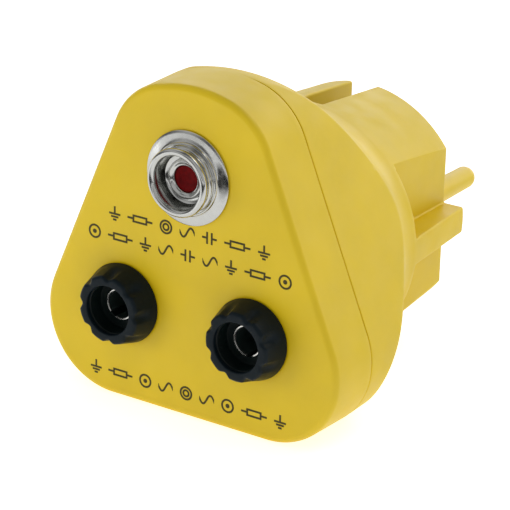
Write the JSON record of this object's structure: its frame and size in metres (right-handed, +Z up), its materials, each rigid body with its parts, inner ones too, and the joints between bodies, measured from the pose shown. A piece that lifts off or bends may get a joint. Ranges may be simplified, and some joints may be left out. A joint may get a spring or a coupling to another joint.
{
  "type": "earth bonding plug",
  "caption": "Dummy mains plug with a rounded triangular casing, a press stud and banana sockets, each joined through its own resistor to the earth contacts in its side notches.",
  "frame": {"origin": "where the plug's axis meets the flat front face of the casing, at the mount front_face", "axes": "+X to the right seen from the front, +Y along the plug's axis towards the wall socket, +Z up, towards the press stud"},
  "size_m": [0.0514, 0.0701, 0.0508],
  "materials": {
    "yellow_plastic": "fine matt moulded surface",
    "pin_plastic": "smooth moulded nylon",
    "black_plastic": "satin moulded",
    "socket_plastic": "satin moulded",
    "red_plastic": "satin",
    "stud_nickel": "bright nickel plate on brass",
    "contact_nickel": "nickel plate on spring brass",
    "screw_steel": "bright zinc plate",
    "resistor_coating": "lacquer"
  },
  "bodies": {
    "root": {"front_shell": "yellow_plastic", "rear_shell": "yellow_plastic", "closing_screw": "screw_steel", "dummy_pin_left": "pin_plastic", "dummy_pin_right": "pin_plastic", "earth_clip": "contact_nickel", "stud_cap": "stud_nickel", "stud_eyelet": "stud_nickel", "stud_red_insert": "red_plastic", "stud_washer": "screw_steel", "stud_solder_tag": "contact_nickel", "stud_resistor": "resistor_coating", "left_socket_body": "socket_plastic", "left_contact_sleeve": "contact_nickel", "left_solder_tag": "contact_nickel", "left_resistor": "resistor_coating", "right_socket_body": "socket_plastic", "right_contact_sleeve": "contact_nickel", "right_solder_tag": "contact_nickel", "right_resistor": "resistor_coating"},
    "left_washer": {"left_slip_washer": "black_plastic"},
    "left_ring": {"left_grip_ring": "black_plastic"},
    "right_washer": {"right_slip_washer": "black_plastic"},
    "right_ring": {"right_grip_ring": "black_plastic"}
  },
  "joints": [
    {"name": "left_ring_travel", "type": "slide", "parent": "root", "child": "left_washer", "axis": [0, -1, 0], "range_m": [0, 0.00225]},
    {"name": "left_ring_turn", "type": "hinge", "parent": "left_washer", "child": "left_ring", "pos_m": [-0.01117, 0, -0.00538], "axis": [0, -1, 0], "range_deg": [0, 1080]},
    {"name": "right_ring_travel", "type": "slide", "parent": "root", "child": "right_washer", "axis": [0, -1, 0], "range_m": [0, 0.00225]},
    {"name": "right_ring_turn", "type": "hinge", "parent": "right_washer", "child": "right_ring", "pos_m": [0.01117, 0, -0.00538], "axis": [0, -1, 0], "range_deg": [0, 1080]}
  ],
  "couplings": [
    {"joint": "left_ring_turn", "follows": "left_ring_travel", "rad_per_m": 8377.5},
    {"joint": "right_ring_turn", "follows": "right_ring_travel", "rad_per_m": 8377.5}
  ]
}
